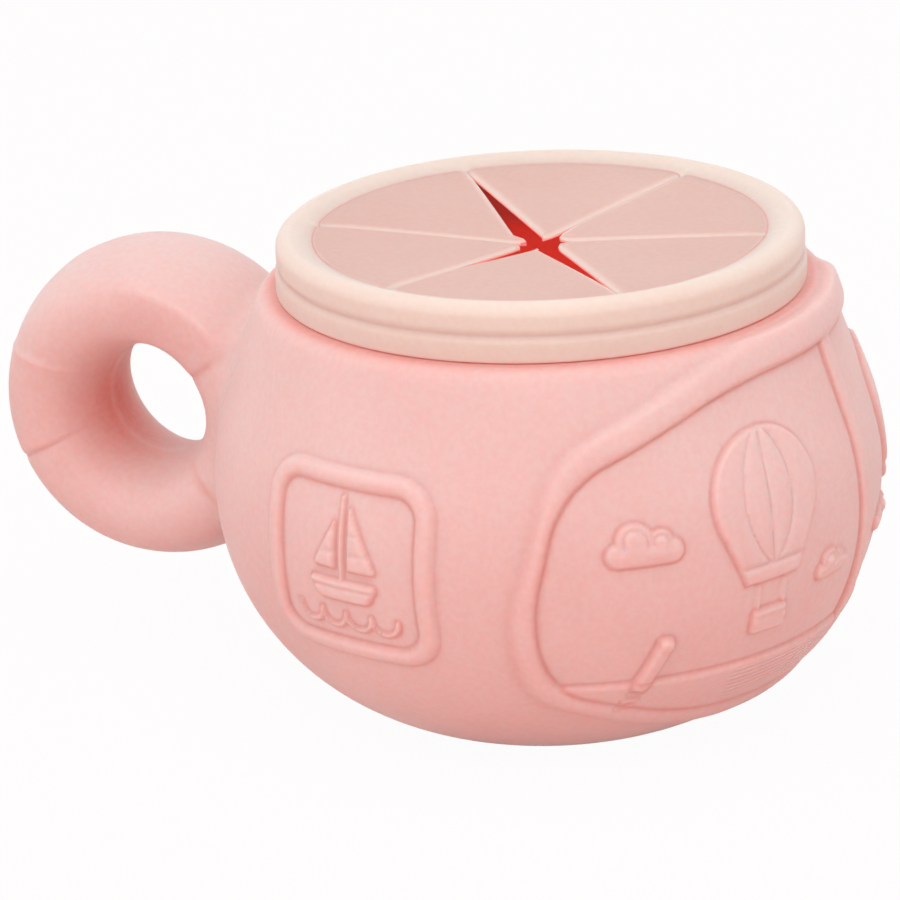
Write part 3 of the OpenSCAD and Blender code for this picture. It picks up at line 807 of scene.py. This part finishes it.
def makeFlap(index):
    # One sixth of the thin top, from the raised edge to its rounded tip, scored along its slits
    s, l = flaps, lidShape
    half = math.radians(180 / s["count"])
    middle = math.radians(s["turn"]) + (2 * index - 1) * half
    thinTop = l["top"] - l["recessDepth"]
    tip, sag = s["tips"][index - 1], s["sags"][index - 1]
    deselectAll()
    bpy.ops.mesh.primitive_grid_add(x_subdivisions=s["columns"], y_subdivisions=s["rows"], size=1)
    piece = bpy.context.active_object
    piece.name = piece.data.name = f"lidFlap{index}"
    grid = verticesOf(piece) * mm
    across, t = grid[:, 0] * 2, grid[:, 1] + 0.5
    across = np.sign(across) * (1 - (1 - np.abs(across)) ** s["edgeCrowding"])
    radius = tip + (s["outerRadius"] - tip) * t ** s["tipCrowding"]
    # Each edge keeps its own gap to the slit, and the tip is rounded between them
    slitOne, slitTwo = s["slits"][index - 1], s["slits"][index % s["count"]]
    gaps = []
    for gap, end in ((slitOne[1], slitOne[2]), (slitTwo[0], slitTwo[2])):
        closing = np.clip(1 - radius / end, 0, 1) ** s["slitCurve"]
        gaps.append(gap * closing + s["slitRoom"] * (radius < s["slitEnd"]))
    fromTip = np.clip((radius - tip) / s["tipRound"], 0, 1)
    roundTip = np.sqrt(1 - (1 - fromTip) ** 2) * 0.9 + 0.1
    limits = [roundTip * (half - np.arcsin(np.clip(gap / radius, 0, 0.9))) for gap in gaps]
    limit = np.where(across < 0, *limits)
    turned = middle + across * limit
    score = scored(radius * np.sin(limit * (1 - np.abs(across))))
    x, y = radius * np.cos(turned), radius * np.sin(turned)
    drop = sag * (1 - np.clip(radius / s["slitEnd"], 0, 1)) ** s["sagCurve"]
    setVertices(piece, np.stack([x, y, thinTop - drop - s["scoreDepth"] * score], 1))
    solid = piece.modifiers.new("thickness", "SOLIDIFY")
    solid.thickness = l["thin"] * mm
    solid.offset = -1
    bpy.ops.object.modifier_apply(modifier=solid.name)
    points = verticesOf(piece)
    count = len(points) // 2
    points[count:, :2] = points[:count, :2]
    # The outer end is thinned, so that it stays within the raised edge
    lift = s["thinnedBy"] * smoothRise(radius - s["thinnedFrom"], s["thinnedOver"])
    points[count:, 2] = thinTop - l["thin"] - drop + s["underScore"] * score + lift
    setVertices(piece, points)
    aside = np.tile(radius * np.sin(limit * (1 - np.abs(across))), 2)
    # Painted show-through, painted shade and painted highlight, as on the raised edge
    addMask(piece, "paintedShade", paintedShowThrough(points, aside))
    # Painted glow: red emission under the scored slits, and near the raised edge
    under = (np.arange(2 * count) >= count) * smoothRise(scored(aside) - 0.5, 0.5)
    outer = l["footGlow"] * smoothRise(np.tile(radius, 2) - lidFoot() + l["glowWidth"], 0.6)
    addMask(piece, "inside", np.maximum(under, outer))
    bpy.ops.object.shade_smooth_by_angle(angle=math.radians(s["sharpAngle"]))
    return piece


lidRing = makeLidRing()
lidFlaps = [makeFlap(i) for i in range(1, flaps["count"] + 1)]
print("flaps made:", len(lidFlaps))


def srgb(colour):
    return (*[((v / 255 + 0.055) / 1.055) ** 2.4 for v in colour], 1)


# Scales are in noise cells per metre
siliconeSkin = {
    "clouding": 22, "cloudingDepth": 0.16, "speckle": 900, "speckleRange": (-0.03, 0.05),
    "sheen": 60, "sheenRange": (-0.06, 0.06), "wave": 90, "waveHeight": 0.25, "waveStrength": 0.25,
    "grain": 2600, "grainHeight": 0.05, "grainStrength": 0.35,
}
# Colours are sRGB. How far light scatters is in millimetres, for red, green and blue. The shade
# colour is painted shade in the creases, and on the lid the painted show-through of the pink below;
# the glow is a painted glow, emission that stands in for the light that comes through the wall.
pinkLook = {
    "name": "pink silicone", "colour": (236, 206, 202), "shadeColour": (218, 112, 98),
    "paintedShadeStrength": 0.55, "roughness": 0.52, "scatter": 3.6, "scatterRadius": (1, 0.25, 0.2),
    "glow": (255, 74, 60), "glowStrength": 0.17,
}
milkyLook = {
    "name": "milky silicone", "colour": (237, 220, 209), "shadeColour": (216, 172, 161),
    "paintedShadeStrength": 1, "roughness": 0.45, "scatter": 2, "scatterRadius": (1, 0.8, 0.7),
    "glow": (255, 62, 48), "glowStrength": 0.6,
}
dashRibs = {"scale": 330, "height": 0.2, "strength": 0.8}


def feed(tree, value, socket):
    # Another node's output is linked, and anything else is the socket's own value
    if isinstance(value, bpy.types.NodeSocket):
        tree.links.new(value, socket)
    else:
        socket.default_value = value


def combine(tree, operation, first, second):
    node = tree.nodes.new("ShaderNodeMath")
    node.operation = operation
    feed(tree, first, node.inputs[0])
    feed(tree, second, node.inputs[1])
    return node.outputs[0]


def mixColours(tree, factor, first, second):
    node = tree.nodes.new("ShaderNodeMix")
    node.data_type = "RGBA"
    for value, index in ((factor, 0), (first, 6), (second, 7)):
        feed(tree, value, node.inputs[index])
    return node.outputs[2]


def readMask(tree, name):
    node = tree.nodes.new("ShaderNodeAttribute")
    node.attribute_name = name
    return node.outputs["Fac"]


def makeSiliconeGroup():
    # Faint clouding of the colour, a dusty uneven sheen and a fine moulded grain
    s = siliconeSkin
    group = bpy.data.node_groups.new("siliconeSurface", "ShaderNodeTree")
    interface = group.interface
    for name, kind in (("Place", "NodeSocketVector"), ("Colour", "NodeSocketColor"),
                       ("Shade Colour", "NodeSocketColor"), ("Painted Shade", "NodeSocketFloat"),
                       ("Grain", "NodeSocketFloat"), ("Roughness", "NodeSocketFloat")):
        interface.new_socket(name=name, in_out="INPUT", socket_type=kind)
    for name, kind in (("Colour", "NodeSocketColor"), ("Roughness", "NodeSocketFloat"),
                       ("Normal", "NodeSocketVector")):
        interface.new_socket(name=name, in_out="OUTPUT", socket_type=kind)
    nodes, links = group.nodes, group.links
    given, put = nodes.new("NodeGroupInput"), nodes.new("NodeGroupOutput")

    def noise(scale, detail):
        node = nodes.new("ShaderNodeTexNoise")
        node.inputs["Scale"].default_value = scale
        node.inputs["Detail"].default_value = detail
        links.new(given.outputs["Place"], node.inputs["Vector"])
        return node.outputs["Fac"]

    def spread(value, low, high, toLow, toHigh):
        node = nodes.new("ShaderNodeMapRange")
        links.new(value, node.inputs["Value"])
        limits = (("From Min", low), ("From Max", high), ("To Min", toLow), ("To Max", toHigh))
        for name, number in limits:
            node.inputs[name].default_value = number
        return node.outputs["Result"]

    def bump(height, raised):
        node = nodes.new("ShaderNodeBump")
        node.inputs["Distance"].default_value = raised * mm
        links.new(height, node.inputs["Height"])
        return node

    clouding = spread(noise(s["clouding"], 3), 0.3, 0.7, 0, s["cloudingDepth"])
    speckle = spread(noise(s["speckle"], 2), 0.35, 0.65, *s["speckleRange"])
    clouded = combine(group, "ADD", clouding, speckle)
    # Painted shade: the mask darkens the clouded colour towards the shade colour
    deep = combine(group, "ADD", clouded, given.outputs["Painted Shade"])
    mixed = mixColours(group, deep, given.outputs["Colour"], given.outputs["Shade Colour"])
    links.new(mixed, put.inputs["Colour"])
    sheen = spread(noise(s["sheen"], 4), 0.3, 0.7, *s["sheenRange"])
    links.new(combine(group, "ADD", given.outputs["Roughness"], sheen), put.inputs["Roughness"])
    grain = bump(noise(s["grain"], 2), s["grainHeight"])
    links.new(given.outputs["Grain"], grain.inputs["Strength"])
    wave = bump(noise(s["wave"], 2), s["waveHeight"])
    wave.inputs["Strength"].default_value = s["waveStrength"]
    links.new(wave.outputs["Normal"], grain.inputs["Normal"])
    links.new(grain.outputs["Normal"], put.inputs["Normal"])
    return group


siliconeGroup = makeSiliconeGroup()


def makeSilicone(look):
    material = bpy.data.materials.new(look["name"])
    material.use_nodes = True
    tree = material.node_tree
    shader = tree.nodes["Principled BSDF"]
    shader.inputs["Subsurface Weight"].default_value = 1
    shader.inputs["Subsurface Scale"].default_value = look["scatter"] * mm
    shader.inputs["Subsurface Radius"].default_value = look["scatterRadius"]
    shader.inputs["IOR"].default_value = 1.41
    surface = tree.nodes.new("ShaderNodeGroup")
    surface.node_tree = siliconeGroup
    place = tree.nodes.new("ShaderNodeTexCoord")
    # Painted shade mask, scaled by the look's painted shade strength
    paintedShade = combine(tree, "MULTIPLY", readMask(tree, "paintedShade"), look["paintedShadeStrength"])
    for name, value in (("Place", place.outputs["Object"]), ("Colour", srgb(look["colour"])),
                        ("Shade Colour", srgb(look["shadeColour"])), ("Painted Shade", paintedShade),
                        ("Grain", siliconeSkin["grainStrength"]), ("Roughness", look["roughness"])):
        feed(tree, value, surface.inputs[name])
    for name in ("Roughness", "Normal"):
        feed(tree, surface.outputs[name], shader.inputs[name])
    feed(tree, surface.outputs["Colour"], shader.inputs["Base Color"])
    return material


def addRibs(material):
    # Fine ribs along the dashboard
    tree = material.node_tree
    nodes, links = tree.nodes, tree.links
    shader = nodes["Principled BSDF"]
    place = nodes.new("ShaderNodeTexCoord")
    wave = nodes.new("ShaderNodeTexWave")
    wave.bands_direction = "Z"
    wave.inputs["Scale"].default_value = dashRibs["scale"]
    bump = nodes.new("ShaderNodeBump")
    bump.inputs["Distance"].default_value = dashRibs["height"] * mm
    bump.inputs["Strength"].default_value = dashRibs["strength"]
    smooth = shader.inputs["Normal"].links[0].from_socket
    links.new(place.outputs["Object"], wave.inputs["Vector"])
    height = combine(tree, "MULTIPLY", wave.outputs["Fac"], readMask(tree, "ribbed"))
    links.new(height, bump.inputs["Height"])
    links.new(smooth, bump.inputs["Normal"])
    links.new(bump.outputs["Normal"], shader.inputs["Normal"])


def addGlow(material, look):
    # Painted glow: red emission in the masked places stands in for light through the wall
    tree = material.node_tree
    shader = tree.nodes["Principled BSDF"]
    glow = mixColours(tree, readMask(tree, "inside"), (0, 0, 0, 1), srgb(look["glow"]))
    tree.links.new(glow, shader.inputs["Emission Color"])
    shader.inputs["Emission Strength"].default_value = look["glowStrength"]


pinkSilicone = makeSilicone(pinkLook)
addRibs(pinkSilicone)
addGlow(pinkSilicone, pinkLook)
milkySilicone = makeSilicone(milkyLook)
addGlow(milkySilicone, milkyLook)

pinkPieces = (bowlShell, ringHandle)
milkyPieces = (lidRing, *lidFlaps)
for piece in pinkPieces:
    piece.data.materials.append(pinkSilicone)
    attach(piece, "bowl")
for piece in milkyPieces:
    piece.data.materials.append(milkySilicone)
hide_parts("bowl")
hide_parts("handle")
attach(lidRing, "lid")
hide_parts("lid_rim")
for i, piece in enumerate(lidFlaps, 1):
    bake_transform(piece)
    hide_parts(f"flap_{i}")

print("pieces coloured:", len(pinkPieces + milkyPieces))

# The camera stands where the photograph was taken from, with its place in metres
view = {"azimuth": 24.8, "elevation": 20.377, "roll": -2.522, "lens": 168,
        "place": (0.268983, -0.622035, 0.293668)}
camera = bpy.data.objects.new("camera", bpy.data.cameras.new("camera"))
bpy.context.scene.collection.objects.link(camera)
bpy.context.scene.camera = camera
azimuth, elevation, roll = (math.radians(view[k]) for k in ("azimuth", "elevation", "roll"))
back = Vector((math.sin(azimuth) * math.cos(elevation), -math.cos(azimuth) * math.cos(elevation),
               math.sin(elevation)))
right = Vector((math.cos(azimuth), math.sin(azimuth), 0))
up = back.cross(right)
cameraX = right * math.cos(roll) + up * math.sin(roll)
cameraY = up * math.cos(roll) - right * math.sin(roll)
turnMatrix = Matrix((cameraX, cameraY, back)).transposed()
camera.matrix_world = Matrix.Translation(Vector(view["place"])) @ turnMatrix.to_4x4()
camera.data.lens = view["lens"]
camera.data.sensor_width = 36

# The lamps' places and sizes are in metres, and their powers in watts
studio = {"world": 0.86, "floorWhite": 0.96, "floorColour": (0.86, 0.6, 0.56),
          "keyPlace": (0.2, -0.95, 0.68), "keySize": 0.9, "keyPower": 2.8,
          "topPlace": (0, -0.1, 1.15), "topSize": 0.9, "topPower": 1.7}


def backgroundRay(tree):
    # One for what the camera sees straight, mirrored or through glass, and otherwise nought
    path = tree.nodes.new("ShaderNodeLightPath")
    total = path.outputs["Is Camera Ray"]
    for name in ("Is Glossy Ray", "Is Transmission Ray"):
        total = combine(tree, "MAXIMUM", total, path.outputs[name])
    return total


def makeFloor():
    deselectAll()
    bpy.ops.mesh.primitive_plane_add(size=6)
    floor = bpy.context.active_object
    floor.name = "floor"
    material = bpy.data.materials.new("pale floor")
    material.use_nodes = True
    tree = material.node_tree
    nodes, links = tree.nodes, tree.links
    shader = nodes["Principled BSDF"]
    shader.inputs["Base Color"].default_value = (*studio["floorColour"], 1)
    shader.inputs["Roughness"].default_value = 1
    shader.inputs["Specular IOR Level"].default_value = 0
    white = nodes.new("ShaderNodeEmission")
    mix = nodes.new("ShaderNodeMixShader")
    share = combine(tree, "MULTIPLY", backgroundRay(tree), studio["floorWhite"])
    links.new(share, mix.inputs["Fac"])
    links.new(shader.outputs[0], mix.inputs[1])
    links.new(white.outputs[0], mix.inputs[2])
    links.new(mix.outputs[0], nodes["Material Output"].inputs["Surface"])
    floor.data.materials.append(material)


def makeWorld():
    world = bpy.data.worlds.new("studio")
    bpy.context.scene.world = world
    world.use_nodes = True
    nodes, links = world.node_tree.nodes, world.node_tree.links
    strength = nodes.new("ShaderNodeMapRange")
    strength.inputs["To Min"].default_value = studio["world"]
    strength.inputs["To Max"].default_value = 1
    links.new(backgroundRay(world.node_tree), strength.inputs["Value"])
    links.new(strength.outputs["Result"], nodes["Background"].inputs["Strength"])
    nodes["Background"].inputs["Color"].default_value = (1, 1, 1, 1)


def addLamp(name, place, size, power):
    deselectAll()
    bpy.ops.object.light_add(type="AREA", location=place)
    lamp = bpy.context.active_object
    lamp.name = name
    lamp.data.size = size
    lamp.data.energy = power
    lamp.rotation_euler = (Vector((0, 0, 0.04)) - Vector(place)).to_track_quat("-Z", "Y").to_euler()


makeFloor()
makeWorld()
addLamp("key", studio["keyPlace"], studio["keySize"], studio["keyPower"])
addLamp("top", studio["topPlace"], studio["topSize"], studio["topPower"])
print("studio lit")
bpy.context.scene.view_settings.view_transform = "Standard"
